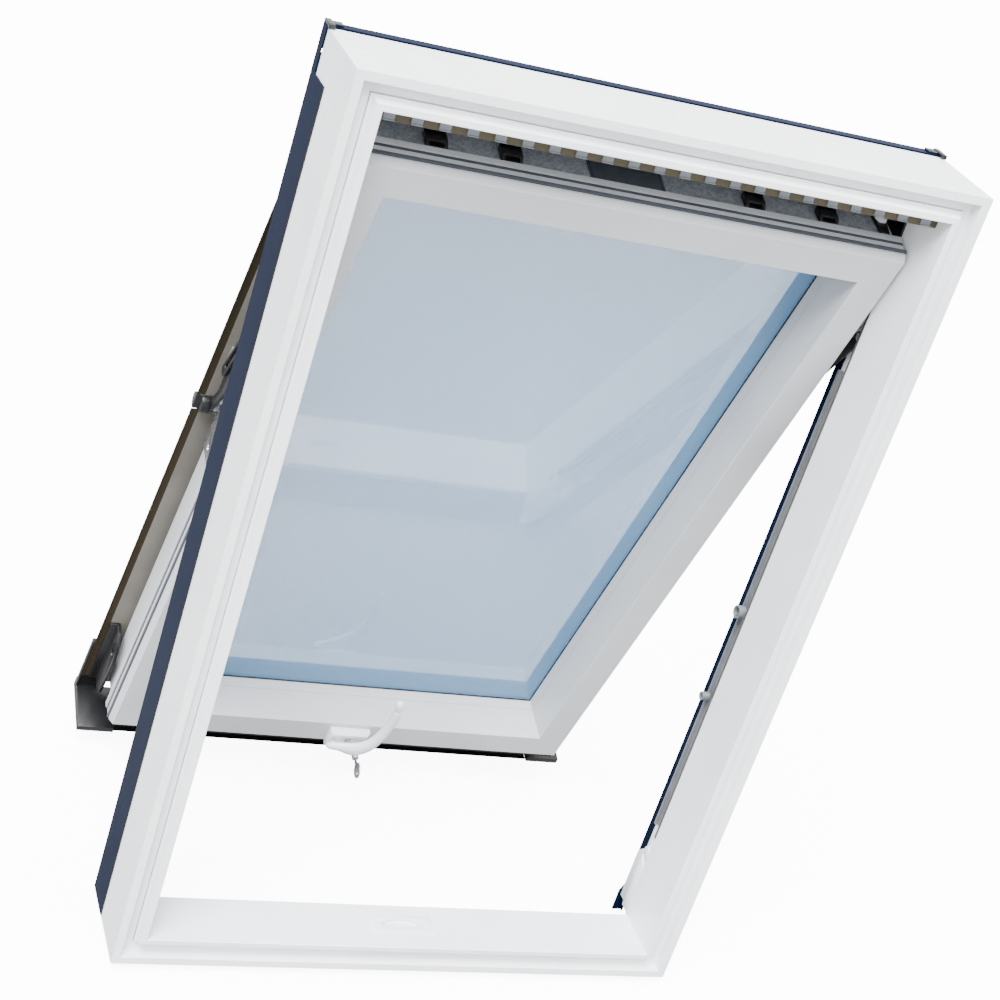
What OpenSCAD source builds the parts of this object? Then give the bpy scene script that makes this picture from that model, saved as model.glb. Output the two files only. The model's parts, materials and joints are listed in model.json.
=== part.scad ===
// Top-hung and centre-pivot roof window, 780 x 1180 mm, shown opened at the bottom.
// X runs across the window, +Y points to the outside, +Z runs up along the jambs.
// The origin is the centre of the frame's bottom face.

/* [Frame] */
// Width of the frame
frame_w = 780; // [550:10:1340]
// Height of the frame
frame_h = 1180; // [780:10:1600]
// Depth of the frame, room face to outside face
frame_d = 129; // [120:1:160]
// Width of the frame profile, outer side to opening
frame_rail = 39; // [36:1:60]
// Depth of the smooth inner face of the jambs
reveal_d = 88; // [84:1:96]
// Thickness of the outer wall behind the reveal
frame_wall = 20; // [19:0.5:22]
// Width of the room-side lip
lip_w = 11; // [8:0.5:14]
// Depth of the lining groove behind the lip
groove_d = 14; // [10:0.5:20]

/* [Sash] */
// Gap between the sash's room face and the jambs
sash_gap = 8; // [8:0.5:12]
// Gap between the sash and the sill
sill_gap = 11; // [10:0.5:16]
// Gap between the sash and the head
head_gap = 25; // [24:0.5:40]
// How far the sash's room face stands behind the frame's
sash_setback = 49; // [46:0.5:52]
// Width of the sash's room face
sash_rail = 41.5; // [38:0.5:60]
// Depth of the sash body
sash_d = 90; // [90:0.5:92]
// Depth of the glass below the room face
glass_level = 65; // [64:0.5:66]
// Thickness of one pane
pane_t = 4; // [3:0.5:5]
// Space between the panes
pane_gap = 16; // [12:0.5:16]

/* [Opening] */
// Angle to which the sash stands open
open_angle = 20.2; // [0:0.1:32]
// Distance of the top hinge outside the frame's room face
hinge_out = 186; // [182:1:190]
// Distance of the top hinge below the frame's top
hinge_down = 86; // [80:1:95]
// Distance of the centre pivot below the sash's top edge
pivot_down = 498; // [480:2:560]
// Diameter of the hinge and pivot pins
pin_dia = 12; // [8:0.5:14]
// Radial clearance of a pin in its bore
pin_fit = 0.05; // [0.02:0.01:0.1]

/* [Lift arms and stays] */
// Thickness of a lift arm
arm_t = 5; // [4:0.5:5]
// Width of a lift arm
arm_w = 22; // [16:1:24]
// Thickness of a stay
stay_t = 3; // [2:0.5:3]
// Width of a stay
stay_w = 15; // [12:1:18]
// Length of a stay, pin to end
stay_len = 296; // [280:2:310]
// Distance of the stay pins below the frame's top
stay_down = 235; // [220:5:260]

/* [Claddings] */
// Thickness of the aluminium sheet
sheet_t = 1.2; // [0.8:0.1:1.5]
// Width of the side covers beside the sash
cover_reach = 33; // [30:0.5:37]
// Depth of the hood over the hinge
hood_d = 71; // [68:1:90]
// Height of the hood's outer wall
hood_h = 98; // [92:1:100]

/* [Handle] */
// Width of the handle's rose
rose_w = 60; // [56:1:80]
// Height of the handle's rose
rose_h = 35; // [34:1:46]
// Thickness of the handle's rose
rose_t = 12; // [11:0.5:16]
// Thickness of the lever
lever_t = 12; // [9:0.5:15]
// Travel of the latch bolt
bolt_travel = 12; // [11:0.5:12]

/* [Top of the sash] */
// Pitch of the grey tabs on the vent strip
tab_pitch = 31.8; // [25:0.1:50]
// Width of a tab
tab_w = 13; // [8:0.5:18]
// Height of the vent strip below the head
vent_h = 17; // [12:0.5:17]

/* [Hidden] */

$fn = 48;
white = [0.93, 0.94, 0.95];
blue = [0.21, 0.28, 0.38];
black = [0.06, 0.06, 0.07];
grey = [0.55, 0.57, 0.60];
brown = [0.34, 0.29, 0.20];
touch = 0.2;      // gap between pieces that bear on each other
reach = 100;      // how far the mitre cutters reach

// Room face of the frame, and the sash's outline in the closed position
room_y = -frame_d / 2;
open_w = frame_w - 2 * frame_rail;
sash_w = open_w - 2 * sash_gap;
sash_h = frame_h - 2 * frame_rail - sill_gap - head_gap;
sash_y = room_y + sash_setback;
sash_z = frame_rail + sill_gap;
pivot_up = sash_h - pivot_down;
stay_up = frame_h - stay_down;

// Side seams: where the arms, stays and pins lie, as distances from the centre line
sash_side = sash_w / 2;
reveal_x = open_w / 2;
wall_x = frame_w / 2 - frame_wall;
arm_x = reveal_x + 2;
stay_x = arm_x + arm_t + 1.5;

// Depths in the sash
cover_level = sash_d + 9;
glass_top = glass_level + 2 * pane_t + pane_gap;
bead_b = 47;
rebate_b = 28;

// Hinge and pivot axes in the closed position
hinge_y = room_y + hinge_out;
hinge_z = frame_h - hinge_down;
pivot_y = sash_y + cover_level;
pivot_z = sash_z + pivot_up;
pin_r = pin_dia / 2;
pivot_clear = 14;

// The stay's pin, the arm's button, and the stay's angle at rest, when it lies on the button
arm_y = room_y + 122;
button_z = stay_up - 211;
button_rest_y = hinge_y + (arm_y - hinge_y) * cos(open_angle)
    - (button_z - hinge_z) * sin(open_angle);
button_rest_z = hinge_z + (arm_y - hinge_y) * sin(open_angle)
    + (button_z - hinge_z) * cos(open_angle);
stay_y = room_y + 105;
stay_bend = atan2(button_rest_y - stay_y, stay_up - button_rest_z);

// Handle
lever_axis_s = 17;
bolt_w = 28;
bolt_t = 6;
recess_half = 28;
recess_y = room_y + 48;

// ---- Shared shapes ----

// A bar along X whose section is a polygon of [depth, inward] points, mitred at both ends
// and cut back there by the gap
module mitred_bar(section, length, gap = 0) {
    half = length / 2 - gap;
    intersection() {
        rotate([90, 0, 90]) linear_extrude(length + 2 * reach, center = true) polygon(section);
        translate([0, 2 * reach, 0]) rotate([90, 0, 0]) linear_extrude(4 * reach)
            polygon([[-half - reach, -reach], [half + reach, -reach],
                [half - reach, reach], [-half + reach, reach]]);
    }
}

// Four mitred bars around a w x h rectangle that stands on z = 0
module ring(section, w, h, sides = ["bottom", "top", "left", "right"], gap = 0) {
    for (side = sides) {
        if (side == "bottom") mitred_bar(section, w, gap);
        if (side == "top")
            translate([0, 0, h]) rotate([0, 180, 0]) mitred_bar(section, w, gap);
        if (side == "left")
            translate([-w / 2, 0, h / 2]) rotate([0, 90, 0]) mitred_bar(section, h, gap);
        if (side == "right")
            translate([w / 2, 0, h / 2]) rotate([0, -90, 0]) mitred_bar(section, h, gap);
    }
}

// A rectangular block given by its two opposite corners
module block(a, b) {
    translate(a) cube(b - a);
}

// A rod along X from x0 to x1
module rod_x(x0, x1, r) {
    translate([x0, 0, 0]) rotate([0, 90, 0]) cylinder(h = x1 - x0, r = r);
}

// A flat plate along X from x0 to x1, outlined by [y, z] points
module side_plate(x0, x1, outline) {
    translate([x0, 0, 0]) rotate([90, 0, 90]) linear_extrude(x1 - x0) polygon(outline);
}

// The child on the right, and its mirror image on the left
module both_sides() {
    children();
    mirror([1, 0, 0]) children();
}

// Turns the closed parts about the top hinge into the opened position
module opened() {
    translate([0, hinge_y, hinge_z]) rotate([open_angle, 0, 0])
        translate([0, -hinge_y, -hinge_z]) children();
}

// Places parts drawn from the sash's bottom edge and room face, then opens them
module on_sash() {
    opened() translate([0, sash_y, sash_z]) children();
}

// ---- Fixed frame ----

frame_front = [[0, 0], [0, lip_w - 0.8], [0.8, lip_w], [groove_d, lip_w + 0.6],
    [groove_d, 24], [groove_d + 3, 24], [groove_d + 3, 25.2], [groove_d - 2, 25.2],
    [groove_d - 2.6, 28.5], [4, 30], [1, 31.2], [0.6, frame_rail - 0.8],
    [1.4, frame_rail]];
frame_back = [[frame_d, 0], [102.4, 0], [102.4, 0.7], [101.6, 0.7], [101.6, 0], [75.2, 0],
    [75.2, 0.7], [74.4, 0.7], [74.4, 0], [55, 0], [55, 0.7], [54.2, 0.7], [54.2, 0]];
jamb_inside = [[reveal_d, frame_rail], [reveal_d, frame_wall], [frame_d, frame_wall]];
sill_d = frame_d - 5;
sill_inside = [[reveal_d - 4, frame_rail], [reveal_d - 2, frame_rail - 3],
    [reveal_d, frame_rail - 7.6], [sill_d, 1.6], [sill_d, 0]];
sill_back = [for (i = [1 : len(frame_back) - 1]) frame_back[i]];
frame_chamber = [[30, 6], [30, frame_rail - 5], [80, frame_rail - 5], [80, 6]];

module lens_prism(half_len, half_w, h) {
    r = (half_len * half_len + half_w * half_w) / (2 * half_w);
    intersection() {
        translate([0, r - half_w, 0]) cylinder(h = h, r = r, $fn = 120);
        translate([0, half_w - r, 0]) cylinder(h = h, r = r, $fn = 120);
    }
}

module frame() {
    color(white) difference() {
        translate([0, room_y, 0]) union() {
            ring(concat(frame_front, jamb_inside, frame_back), frame_w, frame_h,
                ["top", "left", "right"]);
            ring(concat(frame_front, sill_inside, sill_back), frame_w, frame_h, ["bottom"]);
        }
        translate([0, room_y, 0]) ring(frame_chamber, frame_w, frame_h);
        translate([0, recess_y, frame_rail - 4]) lens_prism(recess_half + 1, 9, 5);
    }
}

// One length of square steel tube, centred on its own axis, along X
module steel_tube(length, section_y, section_z, wall = 1.5) {
    difference() {
        cube([length, section_y, section_z], center = true);
        cube([length + 2, section_y - 2 * wall, section_z - 2 * wall], center = true);
    }
}

module frame_steel() {
    fit = 0.3;
    ty = 50 - 2 * fit;
    tz = frame_rail - 11 - 2 * fit;
    mid_a = (6 + frame_rail - 5) / 2;
    mid_y = room_y + 55;
    color(grey) {
        for (z = [mid_a, frame_h - mid_a])
            translate([0, mid_y, z]) steel_tube(frame_w - 2 * (frame_rail - 4.5), ty, tz);
        for (x = [-frame_w / 2 + mid_a, frame_w / 2 - mid_a])
            translate([x, mid_y, frame_h / 2]) rotate([0, 90, 0])
                steel_tube(frame_h - 2 * (frame_rail - 4.5), ty, tz);
    }
}

block_top = 168;

module frame_seal() {
    seal = [[reveal_d, frame_rail - 7], [reveal_d, frame_rail - 1.5],
        [reveal_d + 9, frame_rail - 3], [reveal_d + 9, frame_rail - 7]];
    color(brown) intersection() {
        translate([0, room_y, 0]) ring(seal, frame_w, frame_h, ["top", "left", "right"]);
        block([-frame_w, room_y, block_top], [frame_w, room_y + frame_d, frame_h]);
    }
}

clad_top = room_y + 146.2;
clad_side = 0.3;
jamb_clad_h = frame_h - 52;

module jamb_cladding() {
    x0 = frame_w / 2 + clad_side;
    x1 = x0 + sheet_t;
    xi = wall_x + 1;
    color(blue) {
        block([x0, room_y + 90, 2], [x1, clad_top, jamb_clad_h]);
        block([xi, clad_top - sheet_t, 2], [x0, clad_top, jamb_clad_h]);
        block([xi, room_y + frame_d + touch, 8],
            [xi + sheet_t, clad_top - sheet_t, jamb_clad_h]);
        translate([0, room_y + 134.2, 0]) rotate([90, 0, 0]) linear_extrude(sheet_t)
            polygon([[reveal_x + 6, 8], [xi + sheet_t, 8], [xi + sheet_t, 76], [xi, 76],
                [reveal_x + 6, 42]]);
    }
}

module jamb_cladding_left() {
    mirror([1, 0, 0]) jamb_cladding();
}

module jamb_cladding_right() {
    jamb_cladding();
}

head_clad_z = frame_h + 1.8;
head_clad_y = room_y + 146;

module head_cladding() {
    y0 = room_y + frame_d + 1.6;
    x1 = frame_w / 2 + clad_side + sheet_t;
    color(blue) {
        block([-x1, y0, frame_h - 24], [x1, y0 + sheet_t, head_clad_z]);
        block([-x1, y0 + sheet_t, head_clad_z - sheet_t], [x1, head_clad_y, head_clad_z]);
        both_sides() block([x1 - sheet_t, y0 + sheet_t, jamb_clad_h + 1],
            [x1, head_clad_y, head_clad_z - sheet_t]);
    }
}

// A sloped sheet on the sill with a lip at its outer edge
module sill_cladding() {
    x1 = reveal_x - 1;
    y0 = room_y + reveal_d + 1;
    y1 = room_y + sill_d + touch;
    z0 = frame_rail - 7.6 - (frame_rail - 9.2) / (sill_d - reveal_d) + 0.3;
    color(blue) {
        side_plate(-x1, x1, [[y0, z0], [y1, 1.75], [y1, 1.75 + sheet_t * 1.3],
            [y0, z0 + sheet_t * 1.3]]);
        block([-x1, y1, 0.4], [x1, y1 + sheet_t, 1.75 + sheet_t * 1.3]);
        block([25 - sash_side, y1, -9], [sash_side - 25, y1 + sheet_t, 0.4]);
    }
}

module head_end_caps() {
    x0 = frame_w / 2 - 18;
    x1 = frame_w / 2 + clad_side + sheet_t;
    z0 = head_clad_z + touch;
    color(black) both_sides() {
        block([x0, room_y + 134, z0], [x1, head_clad_y, z0 + 2]);
        block([x1 - 7, room_y + 122, z0], [x1, head_clad_y, z0 + 3.5]);
        block([x1 - 7, room_y + 122, frame_h + touch], [x1, room_y + 129, z0]);
    }
}

module cladding_seals() {
    color(black) both_sides() block([frame_w / 2, room_y + 87.8, 2],
        [frame_w / 2 + 1.3, room_y + 89.9, jamb_clad_h]);
}

hood_x = wall_x + 4;
hood_y = room_y + frame_d + hood_d;

module hinge_hood() {
    y0 = room_y + frame_d + touch;
    z1 = frame_h - 26;
    z_low = z1 - 22;
    z_end = z_low - hood_h;
    t = sheet_t;
    color(blue) {
        side_plate(-hood_x, hood_x, [[y0, frame_h - 38], [y0, z1], [hood_y, z_low],
            [hood_y, z_end], [hood_y - t, z_end], [hood_y - t, z_low - t],
            [y0 + t, z1 - t], [y0 + t, frame_h - 38]]);
        both_sides() side_plate(hood_x, hood_x + t, [[clad_top + 1, z1 - 12],
            [hood_y, z_low], [hood_y, z_end], [clad_top + 20, z_end],
            [clad_top + 1, z_end + 20]]);
    }
}

vent_y = room_y + 29;
vent_x = reveal_x - 1;
head_z = frame_h - frame_rail;

module vent_strip() {
    color(brown) {
        block([-vent_x, vent_y, head_z - vent_h], [vent_x, vent_y + 2, head_z]);
        block([-vent_x, vent_y + 2, head_z - 1.5], [vent_x, vent_y + 9, head_z]);
    }
}

module vent_tabs() {
    count = floor((2 * vent_x - tab_w) / tab_pitch);
    color(grey) for (i = [0 : count]) {
        x = (i - count / 2) * tab_pitch;
        block([x - tab_w / 2, vent_y - 1.6, head_z - vent_h + 1.5],
            [x + tab_w / 2, vent_y, head_z - 2]);
        block([x - tab_w / 2, vent_y - 4.2, head_z - vent_h + 1.5],
            [x + tab_w / 2, vent_y - 1.6, head_z - vent_h + 2.6]);
    }
}

rail_z0 = 170;
rail_z1 = stay_up - 55;
rail_x = wall_x - 6;

module jamb_rails() {
    y0 = room_y + 100;
    y1 = room_y + 126;
    color(grey) both_sides() difference() {
        block([rail_x, y0, rail_z0], [wall_x, y1, rail_z1]);
        block([rail_x - 1, y0 + 3, rail_z0 - 1], [wall_x - 1.5, y1 - 3, rail_z1 + 1]);
    }
}

// Rings that stand off the rails, as [height, radius]
module rail_hooks() {
    color(grey) both_sides() for (ring = [[392, 6], [530, 9]])
        translate([0, room_y + 126 - ring[1], ring[0]]) difference() {
            rod_x(reveal_x + 2, rail_x, ring[1]);
            rod_x(reveal_x, wall_x, ring[1] - 2);
        }
}

module corner_blocks() {
    x0 = reveal_x + 1;
    color(white) both_sides() {
        side_plate(x0, wall_x, [[room_y + reveal_d + touch, frame_rail + 1],
            [room_y + 106, frame_rail + 1], [room_y + 106, 132],
            [room_y + reveal_d + touch, 112]]);
        side_plate(reveal_x + 6.5, wall_x, [[room_y + 105, frame_rail + 1],
            [room_y + 127, frame_rail + 1], [room_y + 127, 120], [room_y + 118, 130],
            [room_y + 105, 132]]);
        translate([0, room_y + 97.5, 140]) rod_x(x0, wall_x, 8.5);
        side_plate(x0 + 2, wall_x, [[room_y + 92, 118], [room_y + 104, 128],
            [room_y + 101, block_top - 10], [room_y + 96, block_top - 4]]);
    }
}

module hinge_brackets() {
    x0 = arm_x + arm_t + 2.5;
    y0 = room_y + 100;
    y1 = room_y + frame_d;
    color(black) both_sides() difference() {
        union() {
            side_plate(x0, x0 + 5, [[y0, hinge_z - 34], [y1, hinge_z - 34],
                [hinge_y + 2, hinge_z - 11], [hinge_y + 10, hinge_z - 4],
                [hinge_y + 10, hinge_z + 4], [hinge_y + 2, hinge_z + 11],
                [y1, hinge_z + 34], [y0, hinge_z + 34]]);
            block([x0 + 4, y0, hinge_z - 34], [wall_x, y1, hinge_z + 34]);
        }
        translate([0, hinge_y, hinge_z]) rod_x(x0 - 1, x0 + 6, pin_r + pin_fit);
        for (z = [-22, 22])
            translate([0, room_y + 114, hinge_z + z]) rod_x(x0 - 1, wall_x + 1, 2.5);
    }
}

module hinge_pins() {
    x0 = arm_x - 4;
    x1 = arm_x + arm_t + 8;
    color(grey) both_sides() translate([0, hinge_y, hinge_z]) {
        rod_x(x0, x1, pin_r);
        rod_x(x0 - 3, x0 + 3.5, pin_r + 3);
    }
}

module stay_pins() {
    color(grey) both_sides() translate([0, stay_y, stay_up]) {
        rod_x(stay_x - 1, wall_x, 5);
        rod_x(stay_x + stay_t + 0.5, wall_x, 8);
    }
}

module strike_plate() {
    t = 0.8;
    color(white) difference() {
        translate([0, room_y + 44.5, frame_rail]) hull() both_sides()
            for (y = [-13.5, 13.5]) translate([42, y, 0]) cylinder(h = t, r = 4, $fn = 32);
        translate([0, recess_y, frame_rail - 1]) lens_prism(recess_half, 8, 3);
    }
}

// ---- Lift arms, which carry the sash and the upper side covers ----

module lift_arm() {
    half = arm_w / 2;
    y_in = arm_y - half;
    y_out = arm_y + half;
    boss = pivot_clear - 1;
    color(black) difference() {
        union() {
            side_plate(arm_x, arm_x + arm_t, [[y_in, pivot_z + 60], [y_in, hinge_z - 74],
                [hinge_y - 13, hinge_z + 5], [hinge_y + 4, hinge_z - 13],
                [y_out, hinge_z - 84], [y_out, pivot_z + 40],
                [pivot_y - 4, pivot_z + boss * 0.94],
                [pivot_y - boss * 0.7, pivot_z - boss * 0.7]]);
            translate([0, pivot_y, pivot_z]) rod_x(arm_x, arm_x + arm_t, boss);
            translate([0, hinge_y, hinge_z]) rod_x(arm_x, arm_x + arm_t, 11.5);
            translate([0, arm_y, button_z]) rod_x(arm_x, arm_x + arm_t + 1.2, 6);
        }
        translate([0, pivot_y, pivot_z]) rod_x(arm_x - 1, arm_x + arm_t + 1, pin_r + pin_fit);
        translate([0, hinge_y, hinge_z]) rod_x(arm_x - 1, arm_x + arm_t + 1, pin_r + pin_fit);
    }
}

module lift_arm_left() {
    opened() mirror([1, 0, 0]) lift_arm();
}

module lift_arm_right() {
    opened() lift_arm();
}

module arm_cover() {
    z0 = pivot_z + pivot_clear;
    z1 = hinge_z - 76;
    x0 = sash_side + 0.6;
    x1 = sash_side + cover_reach;
    y0 = sash_y + cover_level;
    color(blue) {
        block([x0, y0, z0], [x1, y0 + sheet_t, z1]);
        block([x1 - 2, y0 - 1, z0], [x1, y0, z1]);
        for (z = [pivot_z + 80, (z0 + z1) / 2, z1 - 60])
            block([arm_x, arm_y + arm_w / 2 + touch, z], [arm_x + arm_t, y0, z + 24]);
    }
}

module arm_cover_left() {
    opened() mirror([1, 0, 0]) arm_cover();
}

module arm_cover_right() {
    opened() arm_cover();
}

// Round caps over the pivot pins, which close the covers' seam at the pivot
module pivot_caps() {
    x0 = arm_x + arm_t + touch;
    r = pivot_clear - 1.2;
    color(black) opened() both_sides() translate([0, pivot_y, pivot_z]) difference() {
        union() {
            rod_x(x0, wall_x - 1, r);
            intersection() {
                rod_x(x0, sash_side + cover_reach, r);
                block([x0, 0, -r], [frame_w, r, r]);
            }
        }
        rod_x(x0 - 1, arm_x + arm_t + 3.6, pin_r + 3.6);
    }
}

// A slotted flat stay that hangs from the jamb pin and follows a button on the lift arm
module stay() {
    color(black) translate([0, stay_y, stay_up]) rotate([stay_bend, 0, 0]) difference() {
        hull() for (z = [0, -stay_len])
            translate([0, 0, z]) rod_x(stay_x, stay_x + stay_t, stay_w / 2);
        rod_x(stay_x - 1, stay_x + stay_t + 1, 5 + pin_fit);
        hull() for (z = [-205, 10 - stay_len])
            translate([0, 0, z]) rod_x(stay_x - 1, stay_x + stay_t + 1, 3.5);
    }
}

module stay_left() {
    mirror([1, 0, 0]) stay();
}

module stay_right() {
    stay();
}

// ---- Sash and glass, drawn from the sash's bottom edge and room face ----

sash_section = [[0, 0], [0, sash_rail - 0.8], [0.8, sash_rail], [48, bead_b - 0.5],
    [48, rebate_b], [sash_d, rebate_b], [sash_d, 0], [41, 0], [41, -6.3], [32, -6.3],
    [32, 0.5], [27, 0.5], [27, -5], [20, -5], [20, 1], [14, 1], [14, -4], [11, -4]];
sash_chamber = [[8, 5], [8, 36], [42, 36], [42, 5]];

module sash() {
    color(white) on_sash() difference() {
        ring(sash_section, sash_w, sash_h);
        ring(sash_chamber, sash_w, sash_h);
    }
}

module sash_steel() {
    fit = 0.3;
    side = 31 - 2 * fit;
    depth = 34 - 2 * fit;
    mid = 20.5;
    color(grey) on_sash() {
        for (z = [mid, sash_h - mid])
            translate([0, 25, z]) steel_tube(sash_w - 2 * 36.5, depth, side);
        for (x = [-sash_side + mid, sash_side - mid])
            translate([x, 25, sash_h / 2]) rotate([0, 90, 0])
                steel_tube(sash_h - 2 * 36.5, depth, side);
    }
}

module glazing_beads() {
    bead = [[48.4, rebate_b + touch], [48.4, bead_b - 0.3], [63, bead_b + 1.2],
        [63.4, bead_b + 0.8], [63.4, rebate_b + touch]];
    color(white) on_sash() ring(bead, sash_w, sash_h);
}

module glazing_gasket_inner() {
    gasket = [[63.5, bead_b - 9], [63.5, bead_b + 1.4], [glass_level - 0.1, bead_b + 2.2],
        [glass_level - 0.1, bead_b - 9]];
    color(black) on_sash() ring(gasket, sash_w, sash_h);
}

glass_b = rebate_b + 3;

// A pane that starts at depth d
module pane(d) {
    block([-sash_side + glass_b, d, glass_b],
        [sash_side - glass_b, d + pane_t, sash_h - glass_b]);
}

module inner_pane() {
    color([0.75, 0.84, 0.9, 0.5]) on_sash() pane(glass_level);
}

module outer_pane() {
    color([0.75, 0.84, 0.9, 0.5]) on_sash() pane(glass_level + pane_t + pane_gap);
}

module spacer_bar() {
    d0 = glass_level + pane_t + 0.1;
    d1 = glass_level + pane_t + pane_gap - 0.1;
    color(grey) on_sash() ring([[d0, glass_b + 5], [d0, bead_b + 4], [d1, bead_b + 4],
        [d1, glass_b + 5]], sash_w, sash_h);
}

module glazing_gasket_outer() {
    d0 = glass_top + 0.1;
    color(black) on_sash() ring([[d0, bead_b - 8], [d0, bead_b], [d0 + 1.6, bead_b],
        [d0 + 1.6, bead_b - 8]], sash_w, sash_h);
}

module sash_seals() {
    color(black) on_sash() {
        ring([[14.6, 0.9], [14.6, -5.6], [17, -6.2], [19.4, -5.6], [19.4, 0.9]],
            sash_w, sash_h);
        ring([[27.4, 0.4], [27.4, -5.2], [31.6, -5.2], [31.6, 0.4]], sash_w, sash_h);
    }
}

// Room-side lip of the bottom rail, on which the seal and its end brushes sit
seal_outline = [[1.5, -0.7], [1.5, -5.8], [10.5, -5.8], [10.5, -4]];
brush_back = [[1.5, -0.7], [1.5, -2], [10.5, -5], [10.5, -4]];

module bottom_seal() {
    x1 = sash_side - 46;
    color(black) on_sash() side_plate(-x1, x1, seal_outline);
}

// Ribbed rubber blocks at both ends of the bottom seal
module bottom_brushes() {
    pitch = 6.4;
    x0 = sash_side - 45;
    color(black) on_sash() both_sides() {
        side_plate(x0, x0 + 42, brush_back);
        for (i = [0 : 6])
            side_plate(x0 + i * pitch, x0 + i * pitch + 3.6, seal_outline);
    }
}

plate_s = sash_h + touch;
plate_t = 1.5;
clip_s = plate_s + plate_t + 0.05;

module top_plate() {
    x1 = sash_side - 4;
    color(grey) on_sash()
        block([-x1, 42, plate_s], [x1, cover_level - 1, plate_s + plate_t]);
}

// Black hooked clips that stand on the top plate
module top_clips() {
    color(black) on_sash() for (x = [93 - sash_side, 183 - sash_side, sash_side - 193, sash_side - 93])
        translate([x, 44, clip_s]) difference() {
            side_plate(-13, 13, [[0, 0], [22, 0], [22, 8], [7, 8], [0, 4]]);
            block([-9, -1, 1.5], [9, 14, 6.3]);
        }
}

catch_x = sash_side - 14;

module top_catches() {
    color(black) on_sash() both_sides() translate([catch_x, 0, clip_s])
        linear_extrude(4) polygon([[-6, 43], [6, 43], [11, 84], [-11, 84]]);
}

module catch_bolts() {
    color(white) on_sash() both_sides() translate([catch_x, 68, clip_s + 4.05])
        cylinder(h = 5, d = 17, $fn = 6);
}

module label_plate() {
    color(grey) on_sash()
        block([-62, 43, clip_s], [34, 78, clip_s + 0.5]);
}

// Section of the outer covers: flat top, leg on the gasket and foot on the sash
cover_in = bead_b;
mitre_gap = 0.1;
cover_section = [[cover_level, 0.2], [cover_level, 12], [sash_d + touch, 12],
    [sash_d + touch, 12 + sheet_t], [cover_level, 12 + sheet_t],
    [cover_level, cover_in - sheet_t], [glass_top + 1.9, cover_in - sheet_t],
    [glass_top + 1.9, cover_in], [cover_level + sheet_t, cover_in],
    [cover_level + sheet_t, 0.2]];

module sash_cover_top() {
    color(blue) on_sash() ring(cover_section, sash_w, sash_h, ["top"], mitre_gap);
}

module sash_cover_side() {
    s1 = pivot_up - pivot_clear;
    x1 = sash_side + cover_reach;
    color(blue) {
        ring(cover_section, sash_w, sash_h, ["right"], mitre_gap);
        block([sash_side - 0.3, cover_level, -26], [x1, cover_level + sheet_t, s1]);
        block([x1 - 2, cover_level - 1, -26], [x1, cover_level, s1]);
    }
}

module sash_cover_left() {
    on_sash() mirror([1, 0, 0]) sash_cover_side();
}

module sash_cover_right() {
    on_sash() sash_cover_side();
}

module sash_cover_bottom() {
    x1 = sash_side - 1;
    x2 = sash_side - 18;
    color(blue) on_sash() {
        ring(cover_section, sash_w, sash_h, ["bottom"], mitre_gap);
        block([-x1, cover_level, -38], [x1, cover_level + sheet_t, 0.3]);
        block([-x2, cover_level, cap_s + 1], [x2, cover_level + sheet_t, -38]);
        block([-x2, 31, cap_s + 1], [x2, cover_level, cap_s + 1 + sheet_t]);
    }
}

// The caps reach below the frame when the sash is shut
cap_s = -sash_z - 12;

// Moulded cap over the lower corner of the covers
module corner_cap() {
    x0 = sash_side - 0.4;
    x1 = sash_side + cover_reach + 3;
    d0 = cover_level + sheet_t + touch;
    color(black) difference() {
        union() {
            block([x0, d0, cap_s], [x1, d0 + 5, 56]);
            block([sash_side - 17, 28, cap_s], [x1, d0, cap_s + 10]);
            block([x0, d0, cap_s], [x1, d0 + 9, cap_s + 18]);
            block([x1 - 3 + touch, cover_level - 1, cap_s + 10], [x1, d0, 56]);
        }
        for (s = [-30, -8, 14, 36])
            block([x1 - 26, d0 + 3.5, s], [x1 - 6, d0 + 6, s + 10]);
    }
}

module corner_cap_left() {
    on_sash() mirror([1, 0, 0]) corner_cap();
}

module corner_cap_right() {
    on_sash() corner_cap();
}

// Arched plates with an eye that stand under the side covers near the lower corners
module corner_lugs() {
    lug_x = reveal_x + 1;
    rim = cover_level - touch;
    color(black) on_sash() both_sides() difference() {
        union() {
            side_plate(lug_x, lug_x + 4, [[rim, -26], [76, -26], [64, -16], [60, 30],
                [58, 60], [66, 92], [80, 104], [rim, 104]]);
            block([lug_x, rim - 3, -26], [lug_x + 14, rim, 104]);
        }
        translate([0, 74, 66]) rod_x(lug_x - 1, lug_x + 5, 7);
    }
}

module pivot_brackets() {
    x0 = sash_side + touch;
    x1 = x0 + 5;
    color(grey) on_sash() both_sides() difference() {
        union() {
            side_plate(x0, x1, [[46, pivot_up - 60], [86, pivot_up - 60],
                [cover_level - 12, pivot_up - 8], [cover_level - 12, pivot_up + 8],
                [86, pivot_up + 50], [46, pivot_up + 50]]);
            translate([0, cover_level, pivot_up]) rod_x(x0, x1, pivot_clear - 1.5);
        }
        translate([0, cover_level, pivot_up]) rod_x(x0 - 1, x1 + 1, pin_r + pin_fit);
        for (s = [pivot_up - 46, pivot_up + 36])
            translate([0, 66, s]) rod_x(x0 + 2, x1 + 1, 4);
    }
}

module pivot_pins() {
    color(grey) on_sash() both_sides() translate([0, cover_level, pivot_up]) {
        rod_x(sash_side + touch, arm_x + arm_t + 0.4, pin_r);
        rod_x(arm_x + arm_t + 0.4, arm_x + arm_t + 3, pin_r + 3);
        rod_x(sash_side + 5.6, arm_x - 0.4, pin_r + 2);
    }
}

// ---- Handle, latch and lock ----

bolt_slot = 0.3;
slot_half = 8;

module latch_outline(grow) {
    half = bolt_w / 2 + grow;
    difference() {
        block([-half, -bolt_t - grow, -6], [half, 0, 20 + grow]);
        block([-slot_half + grow, -bolt_t - 1, 8 + grow], [slot_half - grow, 1, 21 + grow]);
    }
}

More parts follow.
